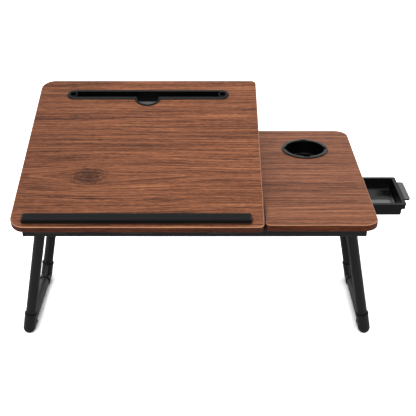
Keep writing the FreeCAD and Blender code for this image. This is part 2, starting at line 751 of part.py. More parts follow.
def prop_guide(name, side):
    """A slotted bar that the foot rod slides in, with a shallow seat at each set angle."""
    inner = f"({PANEL_X} {side} (prop_half_span + prop_rod_radius + guide_gap))"
    x0 = inner if side == "+" else f"({inner} - guide_thick)"
    body = new_body(name)
    bar = sketch_on(body, "YZ_Plane", x0)
    add_box(bar, CROSS_RAIL_BACK, REAR_RAIL_FRONT, RAIL_BOTTOM, RAIL_TOP)
    pad(body, bar, "guide_thick")
    low = f"({RAIL_TOP} - {PROP_DROP} - {PROP_REACH})"
    high = f"({RAIL_TOP} - {PROP_DROP} * cos(tilt_max) + {PROP_REACH})"
    slot = sketch_on(body, "YZ_Plane", f"{x0} + guide_thick")
    add_box(slot, f"hinge_setback + {foot_y('tilt_max')} - {PROP_REACH}",
            f"hinge_setback + {foot_y('0')} + {PROP_REACH}", low, high)
    pocket(body, slot, "guide_thick")
    rail_top = -value("panel_thick") - value("pad_gap")
    faces = (rail_top, rail_top - value("rail_height"))
    round_edges(body, "prop_rod_radius",
                all_of(along("x"), lambda e: not any(near(e.BoundBox.ZMin, z) for z in faces)))
    step = 0
    while step * value("detent_step") <= value("tilt_max") + 1e-6:
        seat = sketch_on(body, "YZ_Plane", f"{x0} + guide_thick")
        add_circle(seat, f"hinge_setback + {foot_y(f'({step} * detent_step)')}",
                   f"{low} + {PROP_REACH} - detent_depth", PROP_REACH)
        pocket(body, seat, "guide_thick")
        step += 1
    node(name, "base", body)


# ---------------------------------------------------------------- drawer and its channels
def drawer_tray():
    body = new_body("drawer_tray")
    top = "(-drawer_top_drop)"
    x0, x1 = DRAWER_START, DRAWER_END
    y0, y1 = "drawer_front_y", "(drawer_front_y + drawer_width)"
    rim = sketch_on(body, "XY_Plane", f"{top} - rim_thick")
    add_box(rim, x0, x1, y0, y1)
    pad(body, rim, "rim_thick")
    skirt = sketch_on(body, "XY_Plane", f"{top} - skirt_height")
    add_box(skirt, f"{x0} + rim_overhang", f"{x1} - rim_overhang",
            f"{y0} + rim_overhang", f"{y1} - rim_overhang")
    pad(body, skirt, "skirt_height - rim_thick / 2")
    round_edges(body, "drawer_corner_round", along("z"))
    hollow_inset = "(rim_overhang + skirt_wall)"
    hollow = sketch_on(body, "XY_Plane", f"{top} - rim_thick")
    add_box(hollow, f"{x0} + {hollow_inset}", f"{x1} - {hollow_inset}",
            f"{y0} + {hollow_inset}", f"{y1} - {hollow_inset}")
    pocket(body, hollow, "skirt_height")
    box = sketch_on(body, "XY_Plane", f"{top} - rim_thick / 2")
    add_box(box, f"{x0} + skirt_offset", f"{x1} - skirt_offset",
            f"{y0} + skirt_offset", f"{y1} - skirt_offset")
    wall = pad(body, box, "drawer_height - rim_thick / 2", "-drawer_draft")
    wall.Reversed = True
    DOC.recompute()
    low = -value("drawer_top_drop") - value("drawer_height")
    round_edges(body, "drawer_corner_round",
                lambda e: near(e.BoundBox.ZMin, low) and spans(e, "z") > value("drawer_height") / 4)
    round_edges(body, "drawer_floor_round", level_at(low))
    cavity_inset = "(skirt_offset + drawer_wall)"
    cavity = sketch_on(body, "XY_Plane", top)
    add_box(cavity, f"{x0} + {cavity_inset}", f"{x1} - {cavity_inset}",
            f"{y0} + {cavity_inset}", f"{y1} - {cavity_inset}")
    pocket(body, cavity, "drawer_height - drawer_floor", "-drawer_draft")
    floor = low + value("drawer_floor")
    round_edges(body, "cavity_corner_round",
                lambda e: near(e.BoundBox.ZMin, floor) and spans(e, "z") > value("drawer_height") / 2)
    round_edges(body, "cavity_floor_round", level_at(floor))
    handle = sketch_on(body, "XY_Plane", f"{top} - handle_thick")
    add_box(handle, f"{x1} - skirt_offset", f"{x1} + handle_length",
            f"{DRAWER_MID_Y} - handle_width / 2", f"{DRAWER_MID_Y} + handle_width / 2")
    pad(body, handle, "handle_thick")
    tip = value("top_width") / 2 - value("drawer_end_inset") + value("handle_length")
    round_edges(body, "handle_round", all_of(along("z"), lambda e: near(e.BoundBox.XMin, tip)))
    node("drawer_tray", "drawer", body)


def drawer_channel(name, outer, sign):
    """A C-shaped channel that carries the skirt along one side of the drawer."""
    face = f"({outer} {sign} channel_gap)"
    back = f"({face} {sign} channel_wall)"
    inward = "+" if sign == "-" else "-"
    top = f"({RAIL_BOTTOM})"
    lip_top = "(-drawer_top_drop - skirt_height - channel_gap)"
    lip = f"({lip_top} - channel_wall)"
    body = new_body(name)
    sketch = sketch_on(body, "YZ_Plane", SHELF_X)
    add_polygon(sketch, [(back, top), (f"{back} {inward} channel_cover", top),
                         (f"{back} {inward} channel_cover", f"{top} - channel_top"),
                         (face, f"{top} - channel_top"), (face, lip_top),
                         (f"{back} {inward} channel_lip", lip_top), (f"{back} {inward} channel_lip", lip),
                         (back, lip)])
    pad(body, sketch, f"{FRAME_X} - {SHELF_X}")
    node(name, "base", body)


# ---------------------------------------------------------------- legs
def leg_bracket(name, sign, y):
    """A folded bracket under a side rail: two cheeks for the pin and a wall the leg leans towards."""
    body = new_body(name)
    x = f"({sign}{LEG_X})"
    inner = "(tube_radius + bracket_gap)"
    outer = f"({inner} + bracket_wall)"
    bottom = "(-pivot_drop - bracket_drop)"
    roof = f"({RAIL_BOTTOM} - bracket_wall)"
    section = sketch_on(body, "YZ_Plane", f"{x} - bracket_half_length")
    add_polygon(section, [(f"{y} - {outer}", RAIL_BOTTOM), (f"{y} + {outer}", RAIL_BOTTOM),
                          (f"{y} + {outer}", bottom), (f"{y} + {inner}", bottom),
                          (f"{y} + {inner}", roof), (f"{y} - {inner}", roof),
                          (f"{y} - {inner}", bottom), (f"{y} - {outer}", bottom)])
    pad(body, section, "2 * bracket_half_length")
    low = -value("pivot_drop") - value("bracket_drop")
    round_edges(body, "bracket_round", all_of(along("y"), level_at(low)))
    pin = sketch_on(body, "XZ_Plane", f"-({y} - {outer})")
    add_circle(pin, x, "-pivot_drop", "leg_pin_radius")
    pocket(body, pin, f"2 * {outer}")
    wall = sketch_on(body, "XY_Plane", "-pivot_drop - bracket_drop / 2")
    x0 = f"{x} + stop_gap" if sign == "+" else f"{x} - bracket_half_length"
    x1 = f"{x} + bracket_half_length" if sign == "+" else f"{x} - stop_gap"
    add_box(wall, x0, x1, f"{y} - {outer}", f"{y} + {outer}")
    pad(body, wall, f"{RAIL_BOTTOM} + pivot_drop + bracket_drop / 2")
    node(name, "base", body)


def leg_tube(name, leg, y):
    body = new_body(name)
    sketch = sketch_on(body, "XY_Plane", "-tube_start")
    add_circle(sketch, "0", y, "tube_radius")
    add_circle(sketch, "0", y, "tube_radius - tube_wall")
    tube = pad(body, sketch, f"{LEG_LENGTH} - tube_start - elbow_core")
    tube.Reversed = True
    node(name, leg, body)


def foot_bar(name, leg):
    body = new_body(name)
    sketch = sketch_on(body, "XZ_Plane", "-(leg_rear_y - elbow_core)")
    add_circle(sketch, "0", f"-{LEG_LENGTH}", "tube_radius")
    add_circle(sketch, "0", f"-{LEG_LENGTH}", "tube_radius - tube_wall")
    pad(body, sketch, "leg_rear_y - leg_front_y - 2 * elbow_core")
    node(name, leg, body)


def knuckle(y):
    """The moulded head of a leg: a round boss on the pin and a plug down the tube."""
    boss = rod("boss", "y", "head_radius", "head_width", "0", f"{y} - head_width / 2")
    neck = rod("neck", "z", "tube_radius", "tube_start - neck_drop", "0", y, "-tube_start")
    plug = rod("plug", "z", "tube_radius - tube_wall", "plug_length", "0", y, "-tube_start - plug_length")
    pin = rod("pin_bore", "y", "leg_pin_radius + running_clearance", "head_width", "0",
              f"{y} - head_width / 2")
    return cut("knuckle", fuse("head", [boss, neck, plug]), pin)


def elbow(name, leg, y, inward, floor_turn):
    """A moulded corner: two sleeves, a ball between them, a web inside and a flat underneath."""
    corner = f"-{LEG_LENGTH}"
    start = y if inward == "+" else f"{y} - elbow_reach"
    upright = rod("upright", "z", "elbow_radius", "elbow_sleeve", "0", y, corner)
    lying = rod("lying", "y", "elbow_radius", "elbow_reach", "0", start, corner)
    ball = solid("Sphere", "ball", Radius="elbow_radius", y=y, z=corner)
    collar_start = f"{y} + elbow_reach - collar_length" if inward == "+" else f"{y} - elbow_reach"
    collars = [rod("collar", "z", "elbow_radius + collar_rise", "collar_length", "0", y,
                   f"{corner} + elbow_sleeve - collar_length"),
               rod("collar", "y", "elbow_radius + collar_rise", "collar_length", "0", collar_start, corner)]
    web = new_body("web")
    outline = sketch_on(web, "YZ_Plane", "-gusset_thick / 2")
    add_polygon(outline, [(y, corner), (f"{y} {inward} elbow_reach", corner),
                          (f"{y} {inward} elbow_reach", f"{corner} + elbow_radius"),
                          (f"{y} {inward} elbow_radius", f"{corner} + elbow_sleeve"),
                          (y, f"{corner} + elbow_sleeve")])
    pad(web, outline, "gusset_thick")
    down = rod("upright_socket", "z", "tube_radius", "elbow_sleeve", "0", y, f"{corner} + elbow_core")
    socket_start = f"{y} + elbow_core" if inward == "+" else f"{y} - elbow_core - elbow_reach"
    across = rod("lying_socket", "y", "tube_radius", "elbow_reach", "0", socket_start, corner)
    floor = block("floor", "-3 * elbow_radius", "3 * elbow_radius", f"{y} - 2 * elbow_reach",
                  f"{y} + 2 * elbow_reach", "-table_height", "0")
    under = group("under", [floor])
    lean = FreeCAD.Rotation(FreeCAD.Vector(0, floor_turn, 0), 1)
    under.Placement = FreeCAD.Placement(FreeCAD.Vector(), lean)
    bind(under, "Placement.Rotation.Angle", "splay")
    bind(under, "Placement.Base.x", f"-({floor_turn}) * foot_axis_height * sin(splay)")
    bind(under, "Placement.Base.z", f"{corner} - foot_axis_height * cos(splay)")
    tools = fuse("elbow_tools", [down, across, under])
    node(name, leg, cut(name, fuse("elbow_solid", [upright, lying, ball, web, *collars]), tools))


def legs():
    for side, sign, floor_turn in (("left", "-", -1), ("right", "+", 1)):
        leg = f"{side}_leg"
        ends = (("front", "leg_front_y", "+"), ("rear", "leg_rear_y", "-"))
        for end, y, inward in ends:
            leg_bracket(f"{side}_{end}_bracket", sign, y)
            leg_tube(f"{side}_{end}_tube", leg, y)
            elbow(f"{side}_{end}_elbow", leg, y, inward, floor_turn)
        foot_bar(f"{side}_foot_bar", leg)
        node(f"{side}_leg_knuckles", leg, group(f"{side}_leg_knuckles", [knuckle(y) for _, y, _ in ends]))
    reach = "(tube_radius + bracket_gap + bracket_wall)"
    pins = [rod("leg_pin", "y", "leg_pin_radius", f"2 * {reach}", f"{sign}{LEG_X}", f"{y} - {reach}",
                "-pivot_drop")
            for sign in ("-", "+") for y in ("leg_front_y", "leg_rear_y")]
    node("leg_pins", "base", group("leg_pins", pins))


# ---------------------------------------------------------------- assembly and output
def check_document():
    DOC.recompute()
    for thing in DOC.Objects:
        if "Invalid" in thing.State or "Error" in thing.State:
            raise RuntimeError(f"{thing.Name} ({thing.Label}) could not be built: {thing.State}")
    for part in NODES:
        if part.Shape.isNull() or not part.Shape.isValid() or not part.Shape.Solids:
            raise RuntimeError(f"{part.Label} is not a valid solid")


def main():
    right_panel()
    left_panel()
    stopper_bar()
    tablet_tray()
    cup_holder()
    frame()
    pads()
    hinges()
    prop()
    prop_clips()
    prop_guide("prop_guide_left", "-")
    prop_guide("prop_guide_right", "+")
    drawer_tray()
    drawer_channel("drawer_channel_front", "drawer_front_y", "-")
    drawer_channel("drawer_channel_rear", "(drawer_front_y + drawer_width)", "+")
    legs()
    check_document()
    os.makedirs("parts", exist_ok=True)
    for part in NODES:
        part.Shape.exportStep(f"parts/{part.Label}.step")
        print(part.Label, len(part.Shape.Solids), round(part.Shape.Volume / 1000, 2), "cm3")


main()
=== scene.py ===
"""Looks of the folding lap desk: materials, rivet heads, floor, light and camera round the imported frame."""

import json
import math

import bpy
from mathutils import Matrix, Vector

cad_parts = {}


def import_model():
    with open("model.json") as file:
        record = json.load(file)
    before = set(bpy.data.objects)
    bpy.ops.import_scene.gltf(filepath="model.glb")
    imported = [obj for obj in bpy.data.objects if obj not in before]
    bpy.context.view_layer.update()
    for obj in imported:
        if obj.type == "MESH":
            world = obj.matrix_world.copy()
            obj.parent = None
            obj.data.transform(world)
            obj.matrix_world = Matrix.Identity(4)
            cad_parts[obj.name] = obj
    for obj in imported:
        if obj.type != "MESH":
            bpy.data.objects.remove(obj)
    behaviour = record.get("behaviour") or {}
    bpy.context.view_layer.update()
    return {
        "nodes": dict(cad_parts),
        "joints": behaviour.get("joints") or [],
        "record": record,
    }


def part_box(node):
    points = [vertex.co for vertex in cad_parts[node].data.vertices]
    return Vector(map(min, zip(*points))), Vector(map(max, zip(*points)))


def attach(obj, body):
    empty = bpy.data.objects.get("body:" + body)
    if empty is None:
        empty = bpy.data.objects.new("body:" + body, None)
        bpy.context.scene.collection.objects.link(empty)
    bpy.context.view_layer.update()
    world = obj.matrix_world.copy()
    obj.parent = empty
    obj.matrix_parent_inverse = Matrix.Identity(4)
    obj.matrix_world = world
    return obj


MM = 0.001
TOP_HALF_WIDTH = 300 * MM

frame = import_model()
nodes = frame["nodes"]
tilt_joint = next(joint for joint in frame["joints"] if joint["name"] == "panel_tilt")
TILT = -math.radians(tilt_joint["range_deg"][0])
HINGE = Vector(tilt_joint["pos_m"])
PANEL_TURN = Matrix.Rotation(TILT, 4, "X")

# The base frame: x from the middle of the top, y from its front edge, z from its top face.
shelf_low, shelf_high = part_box("right_panel")
ORIGIN = Vector((shelf_high.x - TOP_HALF_WIDTH, shelf_low.y, shelf_high.z))


def on_base(x, y, z=0.0):
    """A point of the base frame, given in mm."""
    return ORIGIN + Vector((x, y, z)) * MM


def panel_origin():
    """The point of the tilted panel's top face that lies on ORIGIN when the panel is flat."""
    from_hinge = Vector((0, ORIGIN.y - HINGE.y, ORIGIN.z - HINGE.z))
    return Vector((ORIGIN.x, HINGE.y, HINGE.z)) + PANEL_TURN @ from_hinge


PANEL_ORIGIN = panel_origin()


# ---------------------------------------------------------------- shader graphs
class Graph:
    """The node tree of a material or world, written as formulas."""

    def __init__(self, owner, shader="Principled BSDF"):
        owner.use_nodes = True
        self.owner = owner
        self.tree = owner.node_tree
        self.shader = self.tree.nodes[shader]

    def node(self, kind, **settings):
        made = self.tree.nodes.new(kind)
        for key, setting in settings.items():
            setattr(made, key, setting)
        return made

    def plug(self, source, socket):
        if isinstance(source, bpy.types.NodeSocket):
            self.tree.links.new(source, socket)
        else:
            socket.default_value = source

    def plug_all(self, sources, made):
        for socket, source in zip(made.inputs, sources):
            self.plug(source, socket)
        return made

    def set(self, name, source):
        self.plug(source, self.shader.inputs[name])

    def plugged(self, name):
        """What the shader's input takes its value from so far."""
        return self.shader.inputs[name].links[0].from_socket

    def math(self, operation, *values):
        return self.plug_all(values, self.node("ShaderNodeMath", operation=operation)).outputs[0]

    def minus(self, vector, fixed):
        """The vector from a fixed point to this one."""
        made = self.node("ShaderNodeVectorMath", operation="SUBTRACT")
        return self.plug_all((vector, tuple(fixed)), made).outputs["Vector"]

    def upward(self, vector):
        """The cosine between a direction and straight up."""
        made = self.node("ShaderNodeVectorMath", operation="DOT_PRODUCT")
        return self.plug_all((vector, (0, 0, 1)), made).outputs["Value"]

    def coordinates(self, output="Object"):
        return self.node("ShaderNodeTexCoord").outputs[output]

    def split(self, vector):
        return self.plug_all((vector,), self.node("ShaderNodeSeparateXYZ")).outputs[:3]

    def join(self, x, y, z):
        return self.plug_all((x, y, z), self.node("ShaderNodeCombineXYZ")).outputs[0]

    def turned(self, vector, angle):
        """The vector turned about x."""
        made = self.node("ShaderNodeMapping")
        self.plug(vector, made.inputs["Vector"])
        made.inputs["Rotation"].default_value = (angle, 0, 0)
        return made.outputs[0]

    def noise(self, vector, scale=1.0, detail=2.0, roughness=0.5):
        made = self.node("ShaderNodeTexNoise")
        self.plug(vector, made.inputs["Vector"])
        made.inputs["Scale"].default_value = scale
        made.inputs["Detail"].default_value = detail
        made.inputs["Roughness"].default_value = roughness
        return made.outputs[0]

    def centred_noise(self, *values, **settings):
        return self.math("SUBTRACT", self.noise(*values, **settings), 0.5)

    def ramp(self, factor, stops):
        """A smooth scale of numbers or colours: (place, value) pairs."""
        made = self.node("ShaderNodeValToRGB")
        self.plug(factor, made.inputs[0])
        scale = made.color_ramp
        scale.interpolation = "EASE"
        while len(scale.elements) < len(stops):
            scale.elements.new(0.5)
        for element, (place, shade) in zip(scale.elements, stops):
            element.position = place
            element.color = (*shade, 1) if isinstance(shade, tuple) else (shade, shade, shade, 1)
        return made.outputs[0]

    def mix(self, factor, first, second, blend="MIX"):
        made = self.node("ShaderNodeMix", data_type="RGBA", blend_type=blend)
        self.plug(factor, made.inputs[0])
        for socket, colour in ((made.inputs[6], first), (made.inputs[7], second)):
            self.plug((*colour, 1) if isinstance(colour, tuple) else colour, socket)
        return made.outputs[2]

    def tinted(self, colour, tint):
        return self.mix(1.0, colour, tint, "MULTIPLY")

    def ray_kinds(self):
        """Whether the ray comes from the camera, and whether it is a reflection or a refraction."""
        path = self.node("ShaderNodeLightPath")
        shiny = self.math("MAXIMUM", path.outputs["Is Glossy Ray"], path.outputs["Is Transmission Ray"])
        return path.outputs["Is Camera Ray"], shiny

    def bump(self, height, strength, distance):
        made = self.node("ShaderNodeBump")
        self.plug(height, made.inputs["Height"])
        made.inputs["Strength"].default_value = strength
        made.inputs["Distance"].default_value = distance
        self.set("Normal", made.outputs[0])


def linear(red, green, blue):
    """A colour in linear light from its 0-255 screen values."""
    levels = (red / 255, green / 255, blue / 255)
    return tuple(((level + 0.055) / 1.055) ** 2.4 if level > 0.04045 else level / 12.92 for level in levels)


# ---------------------------------------------------------------- walnut boards
WOOD_SHADES = [(0.0, linear(52, 34, 30)), (0.2, linear(80, 48, 37)), (0.42, linear(116, 71, 50)),
               (0.6, linear(140, 86, 60)), (0.8, linear(164, 104, 71)), (1.0, linear(184, 124, 87))]
WOOD_ROUGHNESS, WOOD_SPECULAR = [(0.2, 0.56), (0.8, 0.44)], 0.12
WOOD_RELIEF_STRENGTH, WOOD_RELIEF = 0.25, 0.2 * MM

# Grain layers: rates per metre along and across the board, detail, place in the noise, its roughness.
BANDS = (1.5, 26.0, 1.0, 3.1, 0.55)
STREAKS = (3.6, 190.0, 2.0, 7.7, 0.55)
THREADS = (6.5, 560.0, 2.0, 23.5, 0.6)
FLECKS = (60.0, 640.0, 2.0, 37.9, 0.6)
FIBRES = (120.0, 1300.0, 1.0, 11.3, 0.55)
DASHES = (10.0, 380.0, 2.0, 61.0, 0.55)

# What each layer adds to the shade, about a middle shade.
MIDDLE_SHADE = 0.56
BAND_WEIGHT, STREAK_WEIGHT, THREAD_WEIGHT, FLECK_WEIGHT, FIBRE_WEIGHT = 0.35, 0.6, 1.6, 0.75, 0.75
DASH_WEIGHT, DASH_EDGE = -0.3, [(0.56, 0.0), (0.68, 1.0)]

# The lines of the grain wander by SWAY_WIDTH, at rates per metre along and across.
SWAY_ALONG, SWAY_ACROSS, SWAY_WIDTH = 3.0, 9.0, 20 * MM

# One knot: its place on the panel, its half sizes and what it adds to the shade. Its edge is ragged, because
# the distance from its middle, the fibres and a burr each count toward it by their own weight.
KNOT = (-182 * MM, 124 * MM)
KNOT_HALF_LENGTH, KNOT_HALF_HEIGHT = 21 * MM, 18 * MM
KNOT_WEIGHT, KNOT_EDGE = -0.36, [(0.22, 1.0), (0.76, 0.0)]
KNOT_FALL, KNOT_FIBRE, KNOT_BURR = 0.45, 0.9, 1.1
BURR_RATE = 170.0

# The grain bends round the knot in rings, and in arches that run out to its right and left. Its noise changes
# across the knot's line at LAYERING per metre, so that the two sides of the line don't mirror each other.
RING_WIDTH, RING_FALL = 19 * MM, 0.7
ARCH_WIDTH, ARCH_RIGHT, ARCH_LEFT = 24 * MM, 270 * MM, 130 * MM
LAYERING = 50.0

# The panel is darker up to one distance from its left end, and fades to its own colour at another.
DARK_END, DARK_END_FADE, DARK_END_TINT = 40 * MM, 200 * MM, (0.84, 0.84, 0.85)

# Painted light on sides, rounded edges and corners, by how far the surface faces up and how open it lies.
# Painted shade: the sides are tinted darker than the top, as under light from above.
SIDE_PAINTED_SHADE, SIDE_SHADE_FACING = (0.3, 0.2, 0.15), [(0.3, 1.0), (0.55, 0.0)]
# A painted highlight on the rounded edges, partly a paler edge band: a pale colour where the surface half
# faces up.
EDGE_HIGHLIGHT_AND_TONE, EDGE_HIGHLIGHT_FACING = linear(222, 170, 134), [(0.5, 0.0), (0.7, 0.65), (0.86, 0.65), (0.96, 0.0)]
# Painted shade: a dark brown in corners and at the foot of raised parts, where little of the sky is open.
PAINTED_SHADE_COLOUR, PAINTED_SHADE_OPENNESS = linear(46, 20, 10), [(0.5, 0.9), (0.93, 0.0)]
PAINTED_SHADE_REACH = 16 * MM


def walnut(name, origin, tilt, seed, tone, fineness, has_knot):
    """Satin walnut with its grain along x; y runs back over the board and z up out of it."""
    g = Graph(bpy.data.materials.new(name))
    place = g.turned(g.minus(g.coordinates(), origin), -tilt)
    along, across, height = g.split(place)
    wander = g.join(g.math("MULTIPLY", along, SWAY_ALONG), g.math("MULTIPLY", across, SWAY_ACROSS), seed)
    line = g.math("MULTIPLY_ADD", g.centred_noise(wander, detail=1.5), SWAY_WIDTH, across)
    layer = seed
    if has_knot:
        layer = g.math("MULTIPLY_ADD", g.math("SUBTRACT", line, KNOT[1]), LAYERING, seed)
        line = knot_flow(g, along, line)

    def grain(run, rate, detail, shift, roughness):
        rate *= fineness
        slice_at = g.math("MULTIPLY_ADD", height, rate, g.math("ADD", layer, shift))
        at = g.join(g.math("MULTIPLY", along, run), g.math("MULTIPLY", line, rate), slice_at)
        return g.centred_noise(at, detail=detail, roughness=roughness)

    threads, flecks = grain(*THREADS), grain(*FLECKS)
    shade = g.math("MULTIPLY_ADD", grain(*BANDS), BAND_WEIGHT, MIDDLE_SHADE)
    for part, weight in ((grain(*STREAKS), STREAK_WEIGHT), (threads, THREAD_WEIGHT * fineness),
                         (flecks, FLECK_WEIGHT), (grain(*FIBRES), FIBRE_WEIGHT)):
        shade = g.math("MULTIPLY_ADD", part, weight, shade)
    dashes = g.ramp(g.math("ADD", grain(*DASHES), 0.5), DASH_EDGE)
    shade = g.math("MULTIPLY_ADD", dashes, DASH_WEIGHT, shade)
    if has_knot:
        reach = g.math("MULTIPLY", knot_distance(g, along, across), KNOT_FALL)
        ragged = g.math("MULTIPLY_ADD", g.math("ADD", flecks, threads), KNOT_FIBRE, reach)
        burr = g.centred_noise(place, scale=BURR_RATE, detail=3.0, roughness=0.65)
        ragged = g.math("MULTIPLY_ADD", burr, KNOT_BURR, ragged)
        shade = g.math("MULTIPLY_ADD", g.ramp(ragged, KNOT_EDGE), KNOT_WEIGHT, shade)

    colour = g.tinted(g.ramp(shade, WOOD_SHADES), (tone, tone, tone))
    if has_knot:
        from_left = g.math("ADD", along, TOP_HALF_WIDTH)
        dark = g.ramp(from_left, [(DARK_END, 1.0), (DARK_END_FADE, 0.0)])
        colour = g.mix(dark, colour, g.tinted(colour, DARK_END_TINT))
    facing = g.upward(g.turned(g.coordinates("Normal"), -tilt))
    # Painted shade on the sides.
    colour = g.mix(g.ramp(facing, SIDE_SHADE_FACING), colour, g.tinted(colour, SIDE_PAINTED_SHADE))
    # Painted highlight on the rounded edges, partly a paler edge band.
    colour = g.mix(g.ramp(facing, EDGE_HIGHLIGHT_FACING), colour, EDGE_HIGHLIGHT_AND_TONE)
    # Painted shade in corners and at the foot of raised parts, from ambient occlusion.
    corners = g.node("ShaderNodeAmbientOcclusion", samples=8)
    corners.inputs["Distance"].default_value = PAINTED_SHADE_REACH
    colour = g.mix(g.ramp(corners.outputs["AO"], PAINTED_SHADE_OPENNESS), colour, PAINTED_SHADE_COLOUR)
    g.set("Base Color", colour)
    g.set("Roughness", g.ramp(shade, WOOD_ROUGHNESS))
    g.set("Specular IOR Level", WOOD_SPECULAR)
    g.bump(shade, WOOD_RELIEF_STRENGTH, WOOD_RELIEF)
    return g.owner


def knot_distance(g, along, across):
    """How many half sizes a point is from the middle of the knot."""
    x = g.math("DIVIDE", g.math("SUBTRACT", along, KNOT[0]), KNOT_HALF_LENGTH)
    y = g.math("DIVIDE", g.math("SUBTRACT", across, KNOT[1]), KNOT_HALF_HEIGHT)
    return g.math("SQRT", g.math("ADD", g.math("MULTIPLY", x, x), g.math("MULTIPLY", y, y)))


def knot_flow(g, along, line):
    """Bends the grain in rings round the knot, and in long pointed arches to its left and right."""
    spread = g.math("ABSOLUTE", g.math("SUBTRACT", line, KNOT[1]))
    aside = g.math("SUBTRACT", along, KNOT[0])
    run = g.math("MAXIMUM", g.math("DIVIDE", aside, ARCH_RIGHT), g.math("DIVIDE", aside, -ARCH_LEFT))
    room = g.ramp(run, [(0.0, 1.0), (1.0, 0.0)])
    fade = g.math("EXPONENT", g.math("DIVIDE", spread, -ARCH_WIDTH))
    bent = g.math("MULTIPLY_ADD", g.math("MULTIPLY", room, fade), -ARCH_WIDTH, spread)
    reach = knot_distance(g, along, line)
    rings = g.math("EXPONENT", g.math("MULTIPLY", g.math("MULTIPLY", reach, reach), -RING_FALL))
    return g.math("MULTIPLY_ADD", rings, -RING_WIDTH, bent)


# ---------------------------------------------------------------- black plastics, metals and rubber
CLOUD_RATE, CLOUD_CONTRAST = 24.0, 0.18
RELIEF_STRENGTH = 0.4
FACES_UP = 0.9

# The finger scoop: where it begins and ends on the panel, and the height over the wood that it stays under.
# Its floor is what faces straight up at rest, by this cosine: the tray's other faces lean with the panel.
SCOOP_FRONT, SCOOP_BACK, SCOOP_TOP = 318 * MM, 345 * MM, 1.0 * MM
# The scoop's floor is painted a paler grey: a painted reflection.
SCOOP_FACING, SCOOP_PAINTED_REFLECTION = 0.985, (0.14, 0.14, 0.145)

# The drawer: how far its floor lies under the rim at least, and how long the grip is. The floor has a share
# of its roughness polished away, a higher specular level, and pale patches of painted reflection. The grip's
# upward faces are paler, a painted reflection too.
DRAWER_FLOOR_DROP, GRIP_LENGTH = 12 * MM, 10 * MM
DRAWER_SPECULAR, GRIP_PAINTED_REFLECTION, PAINTED_REFLECTION_COLOUR = 0.13, (0.12, 0.12, 0.122), (0.07, 0.07, 0.072)
PAINTED_REFLECTION_RATE, PAINTED_REFLECTION_EDGE = 16.0, [(0.44, 0.0), (0.56, 1.0)]
FLOOR_POLISH, FLOOR_SHINE = 0.75, 0.8


def black(name, shade, roughness, grain, depth, specular, spread=0.06):
    """A black finish with fine relief: grain is the relief's rate per metre, depth its height in mm."""
    g = Graph(bpy.data.materials.new(name))
    place = g.coordinates()
    cloud = g.noise(place, scale=CLOUD_RATE, detail=2.0)
    dark = tuple(part * (1 - CLOUD_CONTRAST) for part in shade)
    light = tuple(part * (1 + CLOUD_CONTRAST) for part in shade)
    g.set("Base Color", g.mix(cloud, dark, light))
    g.set("Roughness", g.ramp(cloud, [(0.3, roughness - spread), (0.7, roughness + spread)]))
    g.set("Specular IOR Level", specular)
    g.bump(g.noise(place, scale=grain, detail=3.0, roughness=0.6), RELIEF_STRENGTH, depth * MM)
    return g.owner


def tray():
    """Moulded black, with a painted reflection: a paler grey on the floor of the finger scoop."""
    g = Graph(black("tray_black", (0.003, 0.0031, 0.0034), 0.26, 1500.0, 0.02, 0.17))
    _, across, height = g.split(g.turned(g.minus(g.coordinates(), PANEL_ORIGIN), -TILT))
    inside = g.math("MULTIPLY", g.math("GREATER_THAN", across, SCOOP_FRONT),
                    g.math("LESS_THAN", across, SCOOP_BACK))
    under_rim = g.math("MULTIPLY", inside, g.math("LESS_THAN", height, SCOOP_TOP))
    flat = g.math("GREATER_THAN", g.upward(g.coordinates("Normal")), SCOOP_FACING)
    scoop_floor = g.math("MULTIPLY", under_rim, flat)
    # Painted reflection on the scoop's floor.
    g.set("Base Color", g.mix(scoop_floor, g.plugged("Base Color"), SCOOP_PAINTED_REFLECTION))
    return g.owner


def drawer():
    """Satin black walls; a polished floor and a grip, both with pale painted reflections."""
    g = Graph(black("drawer_black", (0.002, 0.002, 0.0022), 0.26, 1500.0, 0.02, DRAWER_SPECULAR))
    along, _, height = g.split(g.coordinates())
    _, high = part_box("drawer_tray")
    flat = g.math("GREATER_THAN", g.upward(g.coordinates("Normal")), FACES_UP)
    bottom = g.math("MULTIPLY", flat, g.math("LESS_THAN", height, high.z - DRAWER_FLOOR_DROP))
    grip = g.math("MULTIPLY", flat, g.math("GREATER_THAN", along, high.x - GRIP_LENGTH))
    # Painted reflection: pale patches on the drawer's floor.
    painted_reflection = g.ramp(g.noise(g.coordinates(), scale=PAINTED_REFLECTION_RATE, detail=1.0), PAINTED_REFLECTION_EDGE)
    # Painted reflection: the grip's upward faces are a paler grey.
    colour = g.mix(grip, g.plugged("Base Color"), GRIP_PAINTED_REFLECTION)
    g.set("Base Color", g.mix(g.math("MULTIPLY", bottom, painted_reflection), colour, PAINTED_REFLECTION_COLOUR))
    dullness = g.math("MULTIPLY_ADD", bottom, -FLOOR_POLISH, 1.0)
    g.set("Roughness", g.math("MULTIPLY", g.plugged("Roughness"), dullness))
    g.set("Specular IOR Level", g.math("MULTIPLY_ADD", bottom, FLOOR_SHINE, DRAWER_SPECULAR))
    return g.owner


def zinc():
    g = Graph(bpy.data.materials.new("zinc"))
    place = g.coordinates()
    g.set("Metallic", 1.0)
    g.set("Base Color", g.mix(g.noise(place, scale=60.0), (0.42, 0.42, 0.43), (0.56, 0.56, 0.58)))
    g.set("Roughness", g.ramp(g.noise(place, scale=900.0, detail=3.0), [(0.3, 0.26), (0.7, 0.4)]))
    return g.owner


